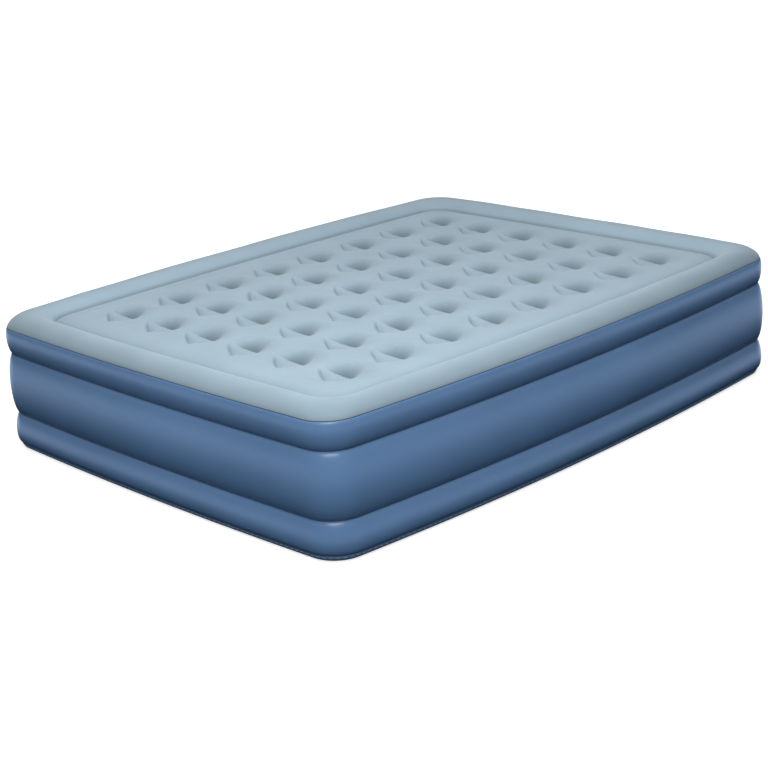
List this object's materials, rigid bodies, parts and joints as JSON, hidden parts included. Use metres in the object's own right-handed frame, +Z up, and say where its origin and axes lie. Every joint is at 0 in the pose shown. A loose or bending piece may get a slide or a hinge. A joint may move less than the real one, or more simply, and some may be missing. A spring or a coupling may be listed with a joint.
{
  "type": "air mattress",
  "caption": "Raised double-height air mattress with a flocked dimpled top, three bulging side bands, internal air coils and a screw-in air valve.",
  "frame": {"origin": "on the floor under the middle of the mattress", "axes": "+Z up, +Y along the length towards the valve end, +X across the width"},
  "size_m": [1.596, 2.0517, 0.424],
  "materials": {
    "flocked_top": "velvety flocked vinyl, matt",
    "blue_vinyl": "satin vinyl film",
    "navy_vinyl": "matt ribbed vinyl film",
    "inner_film": "plain vinyl film, inside the bed",
    "valve_plastic": "moulded plastic, satin",
    "cap_plastic": "moulded plastic, fine grain",
    "seal_rubber": "soft rubber"
  },
  "bodies": {
    "mattress": {"top_sheet": "flocked_top", "top_seam": "blue_vinyl", "upper_band": "blue_vinyl", "middle_band": "blue_vinyl", "lower_band": "blue_vinyl", "base_sheet": "navy_vinyl", "base_seam": "navy_vinyl", "upper_waist_web": "inner_film", "lower_waist_web": "inner_film", "rim_walls": "inner_film", "air_coils": "inner_film", "coil_top_tabs": "inner_film", "coil_base_rings": "inner_film", "valve_collar": "blue_vinyl", "valve_socket": "valve_plastic", "socket_gasket": "seal_rubber"},
    "tether": {"body_tether": "cap_plastic"},
    "valve_body": {"valve_body": "valve_plastic", "flap_keeper": "cap_plastic"},
    "flap": {"one_way_flap": "seal_rubber"},
    "cap": {"valve_cap": "cap_plastic", "cap_seal": "seal_rubber"}
  },
  "joints": [
    {"name": "body_lift", "type": "slide", "parent": "mattress", "child": "tether", "axis": [0, 1, 0], "range_m": [0, 0.01]},
    {"name": "body_turn", "type": "hinge", "parent": "tether", "child": "valve_body", "pos_m": [-0.43, 1.01172, 0.2125], "axis": [0, 1, 0], "range_deg": [0, 901]},
    {"name": "cap_swing", "type": "hinge", "parent": "valve_body", "child": "cap", "pos_m": [-0.43, 1.02632, 0.1835], "axis": [-1, 0, 0], "range_deg": [0, 150]},
    {"name": "flap_swing", "type": "hinge", "parent": "valve_body", "child": "flap", "pos_m": [-0.43, 1.01642, 0.2285], "axis": [-1, 0, 0], "range_deg": [0, 70]}
  ],
  "couplings": [
    {"joint": "body_turn", "follows": "body_lift", "rad_per_m": 1570.8}
  ]
}
